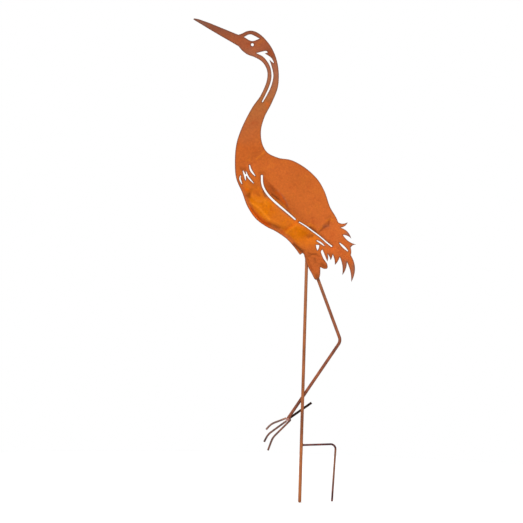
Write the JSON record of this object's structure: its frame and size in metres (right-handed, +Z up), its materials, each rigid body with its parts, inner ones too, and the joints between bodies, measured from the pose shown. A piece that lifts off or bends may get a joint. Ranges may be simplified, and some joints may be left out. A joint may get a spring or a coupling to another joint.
{
  "type": "heron garden stake",
  "caption": "Life-size heron silhouette of pressed rusted steel sheet on a round steel stake with a step fork, one leg raised.",
  "frame": {"origin": "on the axis of the main stake at the surface of the ground, level with the underside of the step bar's weld", "axes": "+Z up along the main stake, -X towards the beak, -Y towards the viewer of the pressed side"},
  "size_m": [0.4235, 0.0431, 1.2014],
  "materials": {
    "rusted_sheet": "matte orange rust patina on pressed steel sheet",
    "rusted_rod": "matte brown rust on round steel rod",
    "dark_wire": "thin grey brown rust over mill scale on round steel wire",
    "black_wire": "black mill scale on round steel wire"
  },
  "bodies": {
    "root": {"heron_sheet": "rusted_sheet", "main_stake": "rusted_rod", "raised_leg": "rusted_rod", "step_fork": "dark_wire", "toe_front_upper": "dark_wire", "toe_front_middle": "dark_wire", "toe_front_lower": "dark_wire", "toe_hind": "black_wire"}
  },
  "joints": []
}
